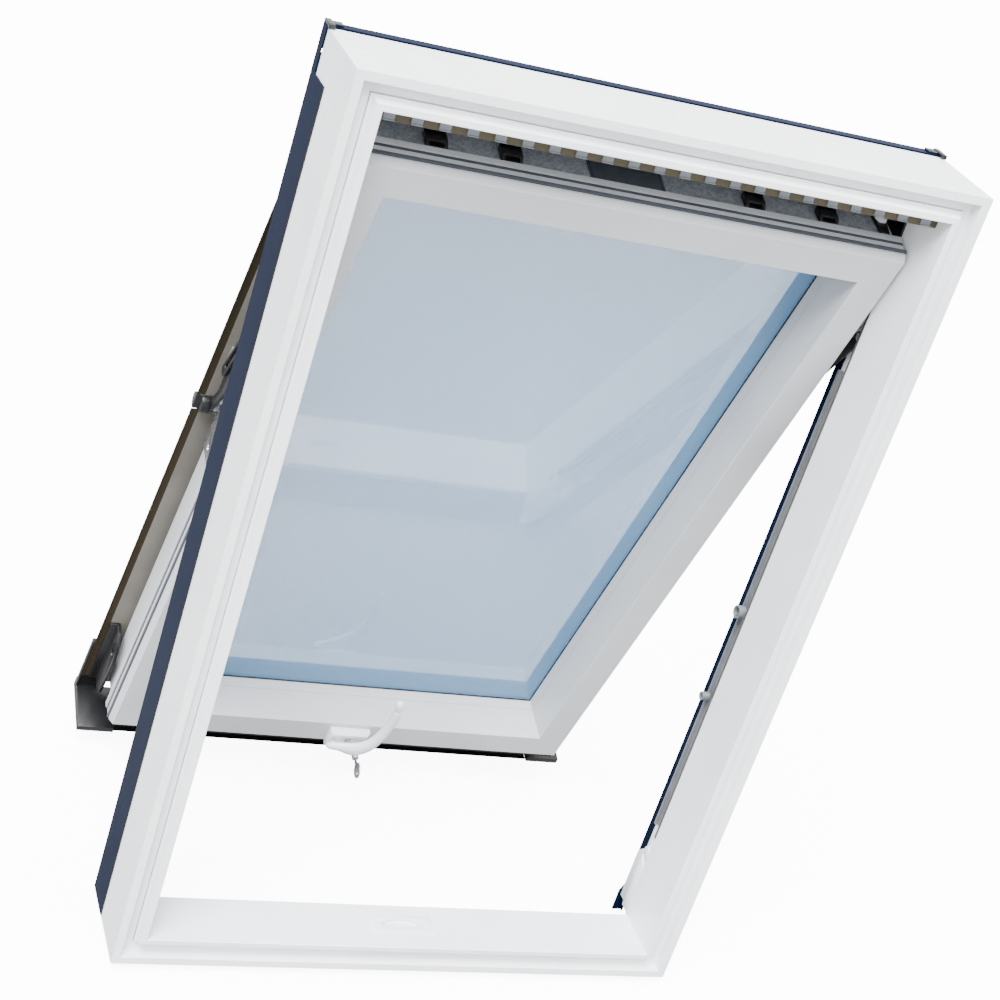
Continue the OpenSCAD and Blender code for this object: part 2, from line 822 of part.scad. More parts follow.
module handle_rose() {
    front = rose_t;
    color(white) on_sash() difference() {
        hull() {
            translate([0, -touch, -2 + rose_h / 2]) rotate([90, 0, 0])
                linear_extrude(front - 4) square([rose_w, rose_h], center = true);
            translate([0, -touch, -2 + rose_h / 2]) rotate([90, 0, 0])
                linear_extrude(front) square([rose_w - 8, rose_h - 6], center = true);
        }
        latch_outline(bolt_slot);
        translate([0, 0, lever_axis_s]) rotate([90, 0, 0]) cylinder(h = 40, r = 5.2);
        for (x = [-22, 22]) translate([x, 0, lever_axis_s]) rotate([90, 0, 0])
            cylinder(h = 40, r = 3.2);
    }
}

module rose_screws() {
    color(grey) on_sash() for (x = [-22, 22])
        translate([x, -0.5, lever_axis_s]) rotate([90, 0, 0]) cylinder(h = rose_t - 2, r = 3);
}

lever_d = -rose_t - 20;
seam_s = 132;
lever_path = [[0, 17, 13], [17, 30, 11], [31, 60, 10], [37, 97, 9.5], [37, 128, 9]];
lock_x = 9;
lock_s = 14;

// One flat round station of the lever: [x, height, width] and a thickness
module lever_station(p, t = lever_t) {
    translate([p[0], lever_d + t / 2, p[1]]) rotate([90, 0, 0]) {
        cylinder(h = t, r = p[2] * 0.62, $fn = 32);
        translate([0, 0, t * 0.22]) cylinder(h = t * 0.56, r = p[2] * 0.75, $fn = 32);
    }
}

module handle_lever() {
    color(white) on_sash() difference() {
        union() {
            translate([0, -rose_t - 0.6, lever_axis_s]) rotate([90, 0, 0])
                cylinder(h = 24, r1 = 16, r2 = 12);
            for (i = [0 : len(lever_path) - 2])
                hull() {
                    lever_station(lever_path[i]);
                    lever_station(lever_path[i + 1]);
                }
        }
        translate([0, -rose_t, lever_axis_s]) rotate([90, 0, 0])
            translate([-3.6, -3.6, 0]) cube([7.2, 7.2, 12]);
        block([-60, lever_d - 30, seam_s], [60, lever_d + 30, seam_s + 40]);
        translate([lock_x, lever_d + 2, lock_s]) rotate([90, 0, 0]) cylinder(h = 12, r = 5.1);
        translate([lock_x, lever_d - lever_t / 2 + 2.3, lock_s]) rotate([90, 0, 0])
            cylinder(h = 12, r = 6.5);
    }
}

module lever_tip_cap() {
    color(white) on_sash() difference() {
        hull() {
            lever_station([37, 128, 9]);
            lever_station([32, 150, 8.4], lever_t - 1.5);
        }
        block([-60, lever_d - 30, 90], [60, lever_d + 30, seam_s + touch]);
    }
}

module handle_spindle() {
    color(grey) on_sash() translate([0, -1.5, lever_axis_s]) rotate([90, 0, 0])
        translate([-3.5, -3.5, 0]) cube([7, 7, rose_t + 9]);
}

module latch_bolt() {
    color(grey) on_sash() difference() {
        translate([0, -touch, 0]) block([-bolt_w / 2, -bolt_t + touch, -1],
            [bolt_w / 2, 0, 20 - touch]);
        block([-slot_half, -bolt_t - 1, 8], [slot_half, 1, 21]);
    }
}

module lock_barrel() {
    color(grey) on_sash() translate([lock_x, lever_d + 1.8, lock_s]) rotate([90, 0, 0])
        difference() {
            cylinder(h = 10.2, r = 5);
            translate([-0.9, -3.4, 4]) cube([1.8, 6.8, 8]);
        }
}

module key() {
    color(grey) on_sash() translate([lock_x, lever_d + 1.8, lock_s]) rotate([90, 0, 0]) {
        translate([-0.8, -3.2, 4.2]) cube([1.6, 6.4, 16]);
        translate([-1, 0, 30]) rotate([0, 90, 0]) difference() {
            cylinder(h = 2, r = 11.5);
            translate([-5, 0, -1]) cylinder(h = 4, r = 2.8);
        }
    }
}

frame();
frame_steel();
frame_seal();
jamb_cladding_left();
jamb_cladding_right();
head_cladding();
sill_cladding();
head_end_caps();
cladding_seals();
hinge_hood();
vent_strip();
vent_tabs();
jamb_rails();
rail_hooks();
corner_blocks();
hinge_brackets();
hinge_pins();
stay_pins();
strike_plate();
lift_arm_left();
lift_arm_right();
arm_cover_left();
arm_cover_right();
pivot_caps();
stay_left();
stay_right();
sash();
sash_steel();
glazing_beads();
glazing_gasket_inner();
inner_pane();
spacer_bar();
outer_pane();
glazing_gasket_outer();
sash_seals();
bottom_seal();
bottom_brushes();
top_plate();
top_clips();
top_catches();
catch_bolts();
label_plate();
sash_cover_top();
sash_cover_left();
sash_cover_right();
sash_cover_bottom();
corner_cap_left();
corner_cap_right();
corner_lugs();
pivot_brackets();
pivot_pins();
handle_rose();
rose_screws();
handle_lever();
lever_tip_cap();
handle_spindle();
latch_bolt();
lock_barrel();
key();
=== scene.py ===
# %% [markdown]
# # A roof window in cells
# The window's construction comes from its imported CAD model, which is loaded first and never moved.
# Everything after that is looks: the camera, a plain studio, one finish for each real material,
# and finer pieces in the places where the eye rests, such as the handle.

# %% Load the frame
import json
import math
import bpy
from mathutils import Matrix, Vector


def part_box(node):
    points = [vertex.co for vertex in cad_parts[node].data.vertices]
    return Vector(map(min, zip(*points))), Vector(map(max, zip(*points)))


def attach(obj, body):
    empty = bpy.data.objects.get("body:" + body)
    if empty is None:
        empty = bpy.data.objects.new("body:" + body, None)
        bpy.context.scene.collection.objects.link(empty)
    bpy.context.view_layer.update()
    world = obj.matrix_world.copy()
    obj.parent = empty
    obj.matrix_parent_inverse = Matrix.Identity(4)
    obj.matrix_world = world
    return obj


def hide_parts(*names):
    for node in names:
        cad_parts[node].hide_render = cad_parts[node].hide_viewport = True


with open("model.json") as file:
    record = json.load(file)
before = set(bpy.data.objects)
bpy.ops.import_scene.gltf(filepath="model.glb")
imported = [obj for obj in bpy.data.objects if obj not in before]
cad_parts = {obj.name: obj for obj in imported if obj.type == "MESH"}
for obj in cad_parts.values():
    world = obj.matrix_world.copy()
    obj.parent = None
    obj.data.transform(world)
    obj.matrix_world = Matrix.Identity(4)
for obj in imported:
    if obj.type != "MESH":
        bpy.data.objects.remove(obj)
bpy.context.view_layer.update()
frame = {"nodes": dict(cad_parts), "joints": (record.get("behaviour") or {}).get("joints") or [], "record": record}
nodes = frame["nodes"]

# %% [markdown]
# The sash stands open about its top hinge. A helper places a point on it: distances are given as
# on the closed sash, across (x), out from its room face (depth) and up from its lower edge (rise),
# and come back as a point in the room. The matrix does the same for a whole piece.

# %% Where the sash is
hinge = next(j for j in frame["joints"] if j["name"] == "top_hinge")
HINGE_Y, HINGE_Z = hinge["pos_m"][1:]
OPENING = math.radians(-hinge["range_deg"][0])
SASH_Y, SASH_Z = -0.0155, 0.050


def on_sash(x, depth, rise):
    """The point in the room of a place given on the closed sash."""
    dy = SASH_Y + depth - HINGE_Y
    dz = SASH_Z + rise - HINGE_Z
    c, s = math.cos(OPENING), math.sin(OPENING)
    return Vector((x, HINGE_Y + dy * c - dz * s, HINGE_Z + dy * s + dz * c))


SASH_PLACE = Matrix.Translation(on_sash(0, 0, 0)) @ Matrix.Rotation(OPENING, 4, "X")
print("the sash is open by", round(math.degrees(OPENING), 1), "degrees")

# %% [markdown]
# ## Camera and studio
# A product picture is taken with a longish lens from the room side, above the middle of the
# window and to its left, with the camera a little rolled. The matrix is written out from its
# three directions, because a rolled camera can't be aimed with a plain look-at.

# %% Camera
CAMERA_PLACE = Vector((-1.0351, -2.0299, 1.7477))
CAMERA_RIGHT = Vector((0.91252, -0.28878, 0.28968))
CAMERA_UP = Vector((-0.11215, 0.50444, 0.85613))
CAMERA_BACK = Vector((-0.39336, -0.81373, 0.42792))
SENSOR_WIDTH, LENS_TO_SENSOR = 36, 2.08827
NEAREST, FARTHEST = 0.05, 60
camera_data = bpy.data.cameras.new("camera")
camera_data.sensor_width = SENSOR_WIDTH
camera_data.lens = SENSOR_WIDTH * LENS_TO_SENSOR
camera_data.clip_start, camera_data.clip_end = NEAREST, FARTHEST
camera = bpy.data.objects.new("camera", camera_data)
bpy.context.scene.collection.objects.link(camera)
turn = Matrix((CAMERA_RIGHT, CAMERA_UP, CAMERA_BACK)).transposed().to_4x4()
camera.matrix_world = Matrix.Translation(CAMERA_PLACE) @ turn
bpy.context.scene.camera = camera
print("lens", round(camera_data.lens, 1), "mm")

# %% [markdown]
# The studio is a white sweep under a soft sky that is brightest overhead, as under a big overhead
# softbox. Faces that look up take the full white, faces that look to the room a little less, and
# those that look down fall into shade, so that the profile's steps can be read. A broad, high sun
# from the room's left adds direction.

# %% Floor and light
FLOOR_Z, FLOOR_SIZE = -0.013, 60
SKY_LOW, SKY_HIGH = 2.0, 3.6
SKY_TINT = (0.965, 0.985, 1.0, 1)
SUN_PLACE, SUN_POWER, SUN_ANGLE = (-1.2, -1.6, 3.0), 13.0, 0.6


def sky(low, high):
    """A world whose brightness rises from the horizon to overhead."""
    world = bpy.data.worlds.new("studio")
    world.use_nodes = True
    tree = world.node_tree
    place = tree.nodes.new("ShaderNodeTexCoord")
    split = tree.nodes.new("ShaderNodeSeparateXYZ")
    rise = tree.nodes.new("ShaderNodeMapRange")
    rise.inputs["To Min"].default_value, rise.inputs["To Max"].default_value = low, high
    background = tree.nodes["Background"]
    background.inputs["Color"].default_value = SKY_TINT
    tree.links.new(place.outputs["Generated"], split.inputs[0])
    tree.links.new(split.outputs["Z"], rise.inputs["Value"])
    tree.links.new(rise.outputs[0], background.inputs["Strength"])
    return world


def sun(place, power, angle):
    """A sun that shines from a place towards the origin; a wide angle softens its shadows."""
    data = bpy.data.lights.new("room_side_sun", "SUN")
    data.energy, data.angle = power, angle
    obj = bpy.data.objects.new("room_side_sun", data)
    bpy.context.scene.collection.objects.link(obj)
    aim = -Vector(place)
    obj.matrix_world = Matrix.Translation(place) @ aim.to_track_quat("-Z", "Y").to_matrix().to_4x4()


bpy.ops.object.select_all(action="DESELECT")
bpy.ops.mesh.primitive_plane_add(size=FLOOR_SIZE, location=(0, 0, FLOOR_Z))
floor = bpy.context.object
floor.name = "studio_floor"
bpy.context.scene.world = sky(SKY_LOW, SKY_HIGH)
sun(SUN_PLACE, SUN_POWER, SUN_ANGLE)
print("floor at", FLOOR_Z)

# %% [markdown]
# ## A way to write finishes
# A finish is a small network of shader nodes. Wiring nodes by hand takes many lines, so one class
# wraps a socket and lets Python's own signs add the Math nodes, and one method adds any other
# node with its settings and the values or links of its sockets.

# %% The socket class and the finish class
class Wire:
    """A shader socket that can be used in a Python expression."""

    def __init__(self, finish, socket):
        self.finish, self.socket = finish, socket

    def math(self, operation, first, second=0.0):
        return self.finish.add("ShaderNodeMath", {"operation": operation}, {0: first, 1: second})

    def __add__(self, other):
        return self.math("ADD", self, other)

    def __sub__(self, other):
        return self.math("SUBTRACT", self, other)

    def __rsub__(self, other):
        return self.math("SUBTRACT", other, self)

    def __mul__(self, other):
        return self.math("MULTIPLY", self, other)

    def __truediv__(self, other):
        return self.math("DIVIDE", self, other)

    __radd__ = __add__
    __rmul__ = __mul__

    def size(self):
        """The value without its sign."""
        return self.math("ABSOLUTE", self)

    def part(self):
        """What is left of the value above its whole number."""
        return self.math("FRACT", self)

    def step(self, low, high):
        """0 below low, 1 above high, and a smooth rise between."""
        settings = {"interpolation_type": "SMOOTHSTEP"}
        return self.finish.add("ShaderNodeMapRange", settings,
                               {"Value": self, "From Min": low, "From Max": high})


class Finish:
    """A material whose Principled shader is reached by the names of its sockets."""

    def __init__(self, name, **constants):
        self.material = bpy.data.materials.new(name)
        self.material.use_nodes = True
        self.tree = self.material.node_tree
        self.shader = self.tree.nodes["Principled BSDF"]
        for socket, value in constants.items():
            self.shader.inputs[socket.replace("_", " ")].default_value = value

    def add(self, kind, settings=None, sockets=None, output=0):
        """A node of any kind, with its settings made first; gives the chosen output."""
        node = self.tree.nodes.new(kind)
        for name, value in (settings or {}).items():
            setattr(node, name, value)
        for name, value in (sockets or {}).items():
            target = node.inputs[name] if isinstance(name, int) else next(
                s for s in node.inputs if s.name == name and s.enabled)
            if isinstance(value, Wire):
                self.tree.links.new(value.socket, target)
            else:
                target.default_value = value
        outputs = [s for s in node.outputs if s.enabled]
        socket = outputs[output] if isinstance(output, int) else node.outputs[output]
        return Wire(self, socket)

    def set(self, **values):
        """Feeds the shader's sockets with values or links."""
        for socket, value in values.items():
            target = self.shader.inputs[socket.replace("_", " ")]
            if isinstance(value, Wire):
                self.tree.links.new(value.socket, target)
            else:
                target.default_value = value

    def place(self):
        """The three coordinates of the point on the object, in metres, as a vector."""
        return self.add("ShaderNodeTexCoord", output="Object")

    def xyz(self):
        """The same coordinates as three separate values."""
        split = self.add("ShaderNodeSeparateXYZ", None, {0: self.place()})
        outputs = split.socket.node.outputs
        return [Wire(self, outputs[i]) for i in range(3)]

    def sash_xyz(self):
        """Across, depth and rise as on the closed sash, with the rise counted from the hinge."""
        x, y, z = self.xyz()
        c, s = math.cos(OPENING), math.sin(OPENING)
        depth = (y - HINGE_Y) * c + (z - HINGE_Z) * s + (HINGE_Y - SASH_Y)
        above_hinge = (z - HINGE_Z) * c - (y - HINGE_Y) * s
        return x, depth, above_hinge

    def noise(self, scale, detail=3.0, rough=0.55, at=None):
        """Soft random values between 0 and 1; a larger scale gives smaller blots."""
        sockets = {"Vector": at or self.place(), "Scale": scale, "Detail": detail,
                   "Roughness": rough}
        return self.add("ShaderNodeTexNoise", None, sockets)

    def blend(self, factor, first, second):
        """A colour between two others."""
        sockets = {"Factor": factor, "A": first, "B": second}
        return self.add("ShaderNodeMix", {"data_type": "RGBA"}, sockets)

    def bump(self, height, strength, distance):
        """A normal that tilts as if the surface rose with the height."""
        sockets = {"Height": height, "Strength": strength, "Distance": distance}
        return self.add("ShaderNodeBump", None, sockets)


def tone(red, green, blue):
    """A colour given as on a screen, from 0 to 255, turned into the linear one shaders use."""
    def linear(v):
        v /= 255
        return v / 12.92 if v <= 0.04045 else ((v + 0.055) / 1.055) ** 2.4
    return (linear(red), linear(green), linear(blue), 1)


print("finish class ready")

# %% [markdown]
# ## White plastic
# The profiles are extruded PVC, satin white. Extrusion leaves very fine lines along each bar, and
# the surface is a little uneven, which only shows in its gloss. So the colour hardly varies, while
# roughness and a weak bump carry the life of the surface.

# %% White plastic
def white_plastic(name, light, dark, roughness):
    """Satin plastic whose colour hardly varies, with a fine grain in its gloss."""
    f = Finish(name, Coat_Weight=0.12, Coat_Roughness=0.12, IOR=1.5)
    cloud = f.noise(scale=7.0, detail=2.0)
    grain = f.noise(scale=420.0, detail=4.0)
    colour = f.blend(cloud.step(0.35, 0.65), light, dark)
    f.set(Base_Color=colour, Roughness=roughness + 0.07 * cloud + 0.05 * grain,
          Normal=f.bump(grain, strength=0.05, distance=0.0004))
    return f.material


frame_white = white_plastic("frame_white_plastic", tone(232, 234, 236), tone(226, 228, 231), 0.26)
# The sash is the same white plastic as the frame, given a darker colour: painted shade for the light its faces
# miss.
sash_white_painted_shade = white_plastic("sash_white_plastic_painted_shade", tone(190, 192, 194), tone(183, 186, 189), 0.28)
handle_white = white_plastic("handle_white_coat", tone(230, 233, 236), tone(224, 227, 231), 0.2)
print("white finishes:", frame_white.name, sash_white_painted_shade.name, handle_white.name)

# %% [markdown]
# ## Lacquered sheet
# The outside is clad in thin aluminium with a slate-blue lacquer. A lacquered coil has a slight
# orange-peel surface, so the bump is broad and shallow. The covers on the sash show their inner
# side to the room, which only has a grey-brown primer, browner along the outer edges and black on
# the bottom cover's skirt. The sides are told apart by depth, counted in the sash's own direction.

# %% Lacquered sheet and its primed back
BLUE, BLUE_DARK = tone(5, 17, 40), tone(4, 13, 33)
PRIMER, PRIMER_DARK = tone(122, 119, 112), tone(106, 103, 97)
SKIRT_BLACK, EDGE_BROWN = tone(14, 14, 15), tone(52, 46, 36)
COVER_DEPTH = 0.099
FACE_START, FACE_FULL = COVER_DEPTH + 0.0002, COVER_DEPTH + 0.0007
COVER_SIDE, SIDE_EDGE = 0.3655, 0.0004
SKIRT_START, SKIRT_FULL = 0.044, 0.046


def lacquer(name, primed_back=False):
    """Blue lacquer all over, or only outside the depth where a cover's outer face starts."""
    f = Finish(name, IOR=1.09, Metallic=0.0)
    cloud = f.noise(scale=5.0)
    peel = f.noise(scale=160.0, detail=2.0)
    speck = f.noise(scale=900.0)
    colour = f.blend(cloud, BLUE, BLUE_DARK)
    rough = 0.34 + 0.08 * cloud + 0.06 * speck
    if primed_back:
        x, depth, above_hinge = f.sash_xyz()
        outside = depth.step(FACE_START, FACE_FULL)
        rise = above_hinge + (HINGE_Z - SASH_Z)
        back = f.blend(cloud.step(0.3, 0.7), PRIMER, PRIMER_DARK)
        edges = (x.size() - COVER_SIDE).step(0.0, SIDE_EDGE)
        back = f.blend(edges, back, EDGE_BROWN)
        back = f.blend((rise * -1).step(SKIRT_START, SKIRT_FULL), back, SKIRT_BLACK)
        colour = f.blend(outside, back, colour)
        rough = rough + 0.2 * (1 - outside)
    f.set(Base_Color=colour, Roughness=rough,
          Normal=f.bump(peel + 0.4 * speck, strength=0.06, distance=0.0006))
    return f.material


sheet_blue = lacquer("slate_blue_lacquer")
cover_blue = lacquer("slate_blue_cover", primed_back=True)
print("sheet finishes:", sheet_blue.name, cover_blue.name)

# %% [markdown]
# ## Black parts
# Gaskets are matt rubber with a fine pebble: black mostly, grey on the sash and brown on the
# jambs. Caps and clips are moulded and a little glossy. Arms and stays are steel with a black coat.

# %% Rubber, moulded black and coated steel
def black_finish(name, light, dark, roughness, pebble, depth, **constants):
    """A dark finish; pebble is the grain's scale, and depth how far the grain stands out."""
    f = Finish(name, **constants)
    cloud = f.noise(scale=18.0)
    grain = f.noise(scale=pebble)
    f.set(Base_Color=f.blend(cloud, light, dark), Roughness=roughness + 0.12 * cloud,
          Normal=f.bump(grain, strength=0.15, distance=depth))
    return f.material


rubber = black_finish("gasket_rubber", tone(26, 26, 28), tone(18, 18, 19), 0.62, 700.0, 0.0006,
                      Specular_IOR_Level=0.25)
seal_grey = black_finish("sash_seal_rubber", tone(74, 79, 88), tone(60, 64, 72), 0.55, 600.0,
                         0.0006)
seal_brown = black_finish("jamb_gasket_rubber", tone(92, 88, 80), tone(74, 70, 64), 0.55, 600.0,
                          0.0006)
moulded = black_finish("moulded_black", tone(20, 20, 22), tone(13, 13, 15), 0.26, 500.0, 0.0004,
                       Specular_IOR_Level=0.4)
coated_steel = black_finish("black_coated_steel", tone(24, 24, 26), tone(16, 16, 18), 0.34, 800.0,
                            0.0004, Specular_IOR_Level=0.35)
print("black finishes ready")

# %% [markdown]
# ## Metals
# The plate on top of the sash is galvanised, and zinc sets in flat crystals, called spangle. A
# Voronoi pattern gives each crystal its own grey and its own gloss. Machined and plated parts are
# smooth, with fine brushing.

# %% Galvanised and bright metal
SPANGLE_SCALE = 420.0
BRUSH_STRETCH = 30


def galvanised(name, light, dark):
    """Zinc in flat crystals, each with its own grey and gloss."""
    f = Finish(name, Metallic=0.35)
    crystals = f.add("ShaderNodeTexVoronoi", None, {"Vector": f.place(), "Scale": SPANGLE_SCALE},
                     "Color")
    value = f.add("ShaderNodeSeparateColor", None, {0: crystals})
    grit = f.noise(scale=650.0, detail=4.0, rough=0.7)
    mix = 0.55 * value + 0.45 * grit
    f.set(Base_Color=f.blend(mix.step(0.1, 0.9), dark, light), Roughness=0.4 + 0.25 * value,
          Normal=f.bump(grit, strength=0.2, distance=0.0006))
    return f.material


def bright_metal(name, light, dark, roughness, metallic=0.95):
    """Smooth metal, brushed in lines that lie at right angles to x."""
    f = Finish(name, Metallic=metallic)
    x, y, z = f.xyz()
    stretched = f.add("ShaderNodeCombineXYZ", None, {0: x * BRUSH_STRETCH, 1: y, 2: z})
    brush = f.noise(scale=60.0, detail=4.0, rough=0.6, at=stretched)
    cloud = f.noise(scale=25.0, detail=2.0)
    f.set(Base_Color=f.blend(cloud, light, dark), Roughness=roughness + 0.15 * brush,
          Normal=f.bump(brush, strength=0.08, distance=0.0004))
    return f.material


zinc = galvanised("galvanised_steel", tone(172, 177, 183), tone(132, 138, 146))
LINE_INSET, LINE_WIDTH, LINE_SOFT = 0.003, 0.0012, 0.0006


def lined_foil(name, light, dark, line):
    """A plain foil label with a thin dark line just inside each end."""
    f = Finish(name, Metallic=0.2)
    x = f.xyz()[0]
    low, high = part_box("label_plate")
    middle, half = (low[0] + high[0]) / 2, (high[0] - low[0]) / 2
    past_line = (x - middle).size() - (half - LINE_INSET)
    reached = past_line.step(-LINE_WIDTH, LINE_SOFT - LINE_WIDTH)
    lines = reached * (1 - past_line.step(0.0, LINE_SOFT))
    cloud, grain = f.noise(scale=40.0, detail=2.0), f.noise(scale=700.0)
    colour = f.blend(lines, f.blend(cloud, light, dark), line)
    f.set(Base_Color=colour, Roughness=0.4 + 0.15 * grain)
    return f.material


label_grey = lined_foil("label_foil", tone(78, 84, 92), tone(70, 76, 84), tone(30, 33, 38))
rail_grey = bright_metal("rail_grey", tone(150, 152, 156), tone(128, 130, 134), 0.35, 0.6)
plated = bright_metal("plated_steel", tone(208, 211, 216), tone(184, 188, 195), 0.2)
print("metal finishes ready")

# %% [markdown]
# ## Vent strip and glass
# The strip under the head is brown moulded plastic, with grey tabs. The glass is two clear panes.
# Seen through both it is faintly blue, and it must let the studio show through, so it is mostly
# transparent, with a sharp reflection on top.

# %% Vent strip, tabs and glass
def matt_plastic(name, light, dark):
    """Moulded plastic with little gloss."""
    f = Finish(name)
    cloud = f.noise(scale=30.0)
    grain = f.noise(scale=800.0)
    f.set(Base_Color=f.blend(cloud, light, dark), Roughness=0.5 + 0.15 * grain,
          Normal=f.bump(grain, strength=0.15, distance=0.0005))
    return f.material


def pane_glass(name, light, pale, alpha):
    """Clear glass: mostly let through, with a faint smear in its sharp reflection."""
    f = Finish(name, IOR=2.0, Metallic=0.0)
    haze = f.noise(scale=2.5, detail=2.0)
    smear = f.noise(scale=14.0)
    f.set(Base_Color=f.blend(haze, light, pale), Roughness=0.02 + 0.015 * smear,
          Alpha=alpha + 0.05 * haze)
    return f.material


strip_brown = matt_plastic("vent_strip_brown", tone(78, 69, 45), tone(62, 55, 36))
tab_grey = matt_plastic("vent_tab_grey", tone(132, 137, 143), tone(114, 119, 125))
glass = pane_glass("pale_blue_glass", tone(94, 146, 190), tone(104, 152, 192), 0.54)
print("strip and glass ready")

# %% [markdown]
# The spacer between the panes is a folded metal strip with a row of tiny holes, which let the
# drying powder inside breathe. Each hole is a dark dot in the colour, placed by taking the part
# left over after dividing the length into equal steps.

# %% Spacer with its row of holes
HOLE_PITCH, ROW_DEPTH = 0.0035, 0.0735
HOLE_INSIDE, HOLE_OUTSIDE = 0.04, 0.09


def perforated(name, light, hole):
    """Dark dots in a row. Distances from a dot are shares of the pitch, and squared at the end."""
    f = Finish(name, Metallic=0.5)
    x, depth, above_hinge = f.sash_xyz()
    along = ((x + above_hinge) / HOLE_PITCH).part() - 0.5
    across = (depth - ROW_DEPTH) / HOLE_PITCH
    away = along * along + across * across
    holes = 1 - away.step(HOLE_INSIDE, HOLE_OUTSIDE)
    grain = f.noise(scale=500.0)
    f.set(Base_Color=f.blend(holes, light, hole), Roughness=0.4 + 0.15 * grain)
    return f.material


spacer_grey = perforated("spacer_strip", tone(62, 74, 88), tone(20, 26, 34))
print("spacer ready")

# %% [markdown]
# ## Finishes on the CAD pieces
# Each piece that keeps its CAD shape gets its finish here, by name.

# %% Give each piece its finish
FINISHES = {
    frame_white: ["frame", "corner_blocks", "strike_plate"],
    sash_white_painted_shade: ["sash", "glazing_beads"],
    handle_white: ["handle_rose", "handle_lever", "lever_tip_cap", "catch_bolts"],
    sheet_blue: ["jamb_cladding_left", "jamb_cladding_right", "head_cladding", "sill_cladding",
                 "hinge_hood"],
    cover_blue: ["arm_cover_left", "arm_cover_right", "sash_cover_top", "sash_cover_left",
                 "sash_cover_right", "sash_cover_bottom"],
    rubber: ["cladding_seals", "glazing_gasket_inner", "glazing_gasket_outer", "bottom_seal",
             "bottom_brushes"],
    seal_grey: ["sash_seals"],
    seal_brown: ["frame_seal"],
    moulded: ["head_end_caps", "top_clips", "top_catches", "corner_cap_left", "corner_cap_right",
              "corner_lugs"],
    coated_steel: ["lift_arm_left", "lift_arm_right", "stay_left", "stay_right", "hinge_brackets",
                   "pivot_caps"],
    zinc: ["frame_steel", "sash_steel", "top_plate"],
    label_grey: ["label_plate"],
    rail_grey: ["jamb_rails", "rail_hooks"],
    plated: ["hinge_pins", "stay_pins", "pivot_pins", "pivot_brackets",
             "rose_screws", "handle_spindle", "latch_bolt", "lock_barrel", "key"],
    strip_brown: ["vent_strip"],
    tab_grey: ["vent_tabs"],
    glass: ["inner_pane", "outer_pane"],
    spacer_grey: ["spacer_bar"],
}
for finish, names in FINISHES.items():
    for name in names:
        nodes[name].data.materials.clear()
        nodes[name].data.materials.append(finish)
finished = [name for names in FINISHES.values() for name in names]
print(len(finished), "pieces finished; left over:", sorted(set(nodes) - set(finished)))

# %% [markdown]
# ## Softer edges
# No moulded or pressed part has a knife edge: its edges are rounded by a fraction of a millimetre,
# and that is where the highlights sit. A copy of a CAD piece is merged into one closed mesh, its
# flat faces are joined, a Bevel modifier rounds the sharp edges, and the copy stands in for the
# original. The copy keeps the finish that the original was given.

# %% A copy with rounded edges
MM_IN_M = 1000
MERGE_WITHIN = 0.00001
FLAT_WITHIN, SMOOTH_WITHIN = math.radians(1), math.radians(35)
EDGE_SEGMENTS = 2
ROUNDED = {"handle_rose": 1.6, "corner_cap_left": 1.2, "corner_cap_right": 1.2, "corner_lugs": 0.8,
           "top_clips": 0.9, "top_catches": 1.0, "catch_bolts": 0.8, "head_end_caps": 0.5,
           "pivot_brackets": 0.8, "corner_blocks": 1.4, "lift_arm_left": 0.6,
           "lift_arm_right": 0.6, "stay_left": 0.5, "stay_right": 0.5, "key": 0.4,
           "vent_tabs": 0.3, "strike_plate": 0.25, "hinge_brackets": 0.8, "pivot_caps": 1.0,
           "latch_bolt": 0.6, "lock_barrel": 0.4}
RECORD = frame["record"]
BODY_OF = {n: body for body, names in RECORD["behaviour"]["bodies"].items() for n in names}


def stand_in(piece, node):
    """The new piece joins the CAD node's body, and the CAD node is hidden."""
    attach(piece, BODY_OF[node])
    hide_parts(node)


def rounded(node, width):
    """A copy of a node whose sharp edges are rounded by a width in millimetres."""
    bpy.ops.object.select_all(action="DESELECT")
    nodes[node].select_set(True)
    bpy.context.view_layer.objects.active = nodes[node]
    bpy.ops.object.duplicate()
    piece = bpy.context.object
    piece.name = node + "_rounded"
    bpy.ops.object.mode_set(mode="EDIT")
    bpy.ops.mesh.select_all(action="SELECT")
    bpy.ops.mesh.remove_doubles(threshold=MERGE_WITHIN)
    bpy.ops.mesh.dissolve_limited(angle_limit=FLAT_WITHIN)
    bpy.ops.object.mode_set(mode="OBJECT")
    bevel = piece.modifiers.new("edge", "BEVEL")
    bevel.width, bevel.segments = width / MM_IN_M, EDGE_SEGMENTS
    bevel.limit_method = "ANGLE"
    bpy.ops.object.modifier_apply(modifier=bevel.name)
    bpy.ops.object.shade_smooth_by_angle(angle=SMOOTH_WITHIN)
    stand_in(piece, node)
    return piece


for node, width in ROUNDED.items():
    piece = rounded(node, width)
print(len(ROUNDED), "pieces rounded; the last has", len(piece.data.polygons), "faces")

# %% [markdown]
# ## The lever
# The real lever is cast: a round knob at its left end, a wide hub over the spindle and the lock,
# and a handle that curves up to the right. It is swept by hand: a small disc is extruded from one
# station to the next, turned to face along the way, and resized, and subdivision then rounds it.
# The cap on its tip is a piece of its own, made the same way. Each station gives the place across
# and up the sash, the depth, and half the width and thickness, all in millimetres.

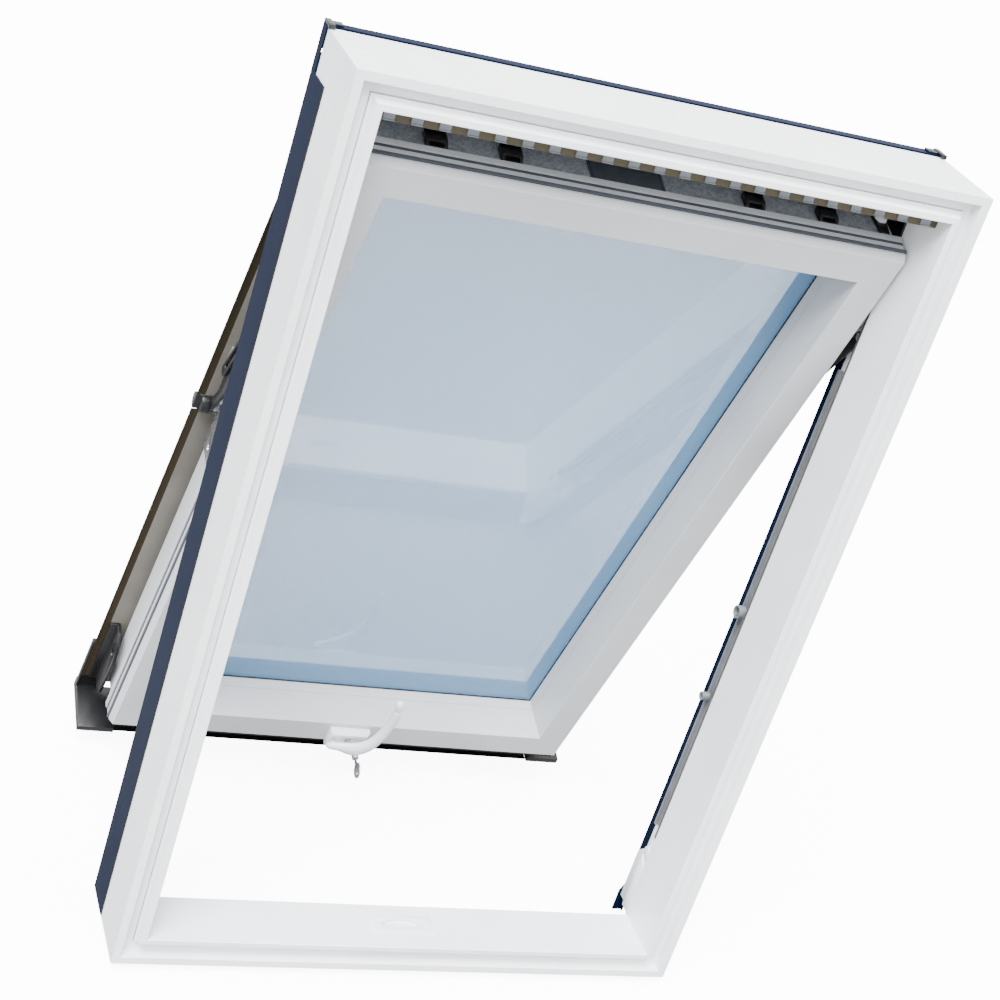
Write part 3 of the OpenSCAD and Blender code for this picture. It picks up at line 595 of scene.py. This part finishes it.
# %% Sweep the lever
RING_SIDES, SMOOTH_LEVELS = 12, 2
CAST_SMOOTH_WITHIN = math.radians(50)
LEVER = [(-36, 20, -24, 2.5, 2.0), (-33, 20, -24, 6.0, 4.5), (-27, 21, -25, 7.6, 5.8),
         (-19, 22, -26, 7.2, 5.6), (-9, 22, -28, 10.5, 6.4), (3, 22, -30, 14.5, 7.4),
         (14, 27, -31, 14.0, 7.6), (24, 39, -32, 10.6, 7.4), (30.5, 54, -32, 9.0, 7.0),
         (35, 76, -32, 8.0, 6.6), (37, 102, -32, 7.4, 6.2), (36, 127, -32, 7.2, 6.0),
         (35.6, 130, -32, 6.6, 5.4)]
TIP = [(35.4, 131, -32, 5.0, 4.0), (35.3, 131.4, -32, 7.2, 6.0), (34, 139, -32, 7.3, 6.1),
       (31.4, 147, -32, 6.4, 5.4), (29.8, 151, -32, 3.2, 2.8)]


def heading(stations, i):
    """The way the sweep faces at a station, from the one before it to the one after."""
    first, last = stations[max(i - 1, 0)], stations[min(i + 1, len(stations) - 1)]
    return math.atan2(last[1] - first[1], last[0] - first[0])


def swept(name, stations):
    """A closed, rounded bar through the stations, put in its place on the sash."""
    bpy.ops.object.select_all(action="DESELECT")
    x, rise, depth = stations[0][:3]
    bpy.ops.mesh.primitive_circle_add(vertices=RING_SIDES, radius=1, fill_type="NGON",
                                      location=(x, depth, rise), rotation=(0, math.pi / 2, 0))
    bpy.ops.object.transform_apply(location=True, rotation=True, scale=True)
    piece = bpy.context.object
    piece.name = name
    bpy.ops.object.mode_set(mode="EDIT")
    bpy.ops.mesh.select_all(action="SELECT")
    facing, old_wide, old_thick = 0.0, 1.0, 1.0
    for i, (nx, nrise, ndepth, wide, thick) in enumerate(stations):
        if i:
            step = (nx - x, ndepth - depth, nrise - rise)
            bpy.ops.mesh.extrude_region_move(TRANSFORM_OT_translate={"value": step})
        x, rise, depth = nx, nrise, ndepth
        turn = heading(stations, i) - facing
        middle = (x, depth, rise)
        bpy.ops.transform.rotate(value=turn, orient_axis="Y", center_override=middle)
        bpy.ops.transform.resize(value=(wide / old_wide, thick / old_thick, wide / old_wide),
                                 center_override=middle)
        facing, old_wide, old_thick = facing + turn, wide, thick
    bpy.ops.mesh.select_all(action="SELECT")
    bpy.ops.mesh.normals_make_consistent(inside=False)
    bpy.ops.object.mode_set(mode="OBJECT")
    smooth = piece.modifiers.new("smooth", "SUBSURF")
    smooth.levels = smooth.render_levels = SMOOTH_LEVELS
    bpy.ops.object.modifier_apply(modifier=smooth.name)
    piece.matrix_world = SASH_PLACE @ Matrix.Scale(1 / MM_IN_M, 4)
    bpy.ops.object.transform_apply(location=True, rotation=True, scale=True)
    bpy.ops.object.shade_smooth_by_angle(angle=CAST_SMOOTH_WITHIN)
    piece.data.materials.append(handle_white)
    return piece


lever = swept("lever_casting", LEVER)
stand_in(lever, "handle_lever")
tip = swept("lever_tip", TIP)
stand_in(tip, "lever_tip_cap")
lowest = min(v.co.z for v in lever.data.vertices)
print("lever", len(lever.data.polygons), "faces, lowest point", round(lowest, 4))

# %% [markdown]
# The sweep looks white because it glows, but a Light Path node lets it glow only where it is seen
# directly, so that it throws little light up at the window.

# %% Floor finish
FLOOR_GLOW = 9.0
FLOOR_DIM, FLOOR_LIGHT = (0.2, 0.2, 0.205, 1), (0.8, 0.8, 0.8, 1)
GLOW_OFF, GLOW_ON = (0, 0, 0, 1), (1, 1, 1, 1)

sweep = Finish("studio_sweep", Emission_Strength=FLOOR_GLOW)
seen = sweep.add("ShaderNodeLightPath", output="Is Camera Ray")
cloud = sweep.noise(scale=0.6, detail=2.0)
sweep.set(Base_Color=sweep.blend(seen, FLOOR_DIM, FLOOR_LIGHT),
          Emission_Color=sweep.blend(seen, GLOW_OFF, GLOW_ON), Roughness=0.75 + 0.1 * cloud)
floor.data.materials.append(sweep.material)
print("floor painted")
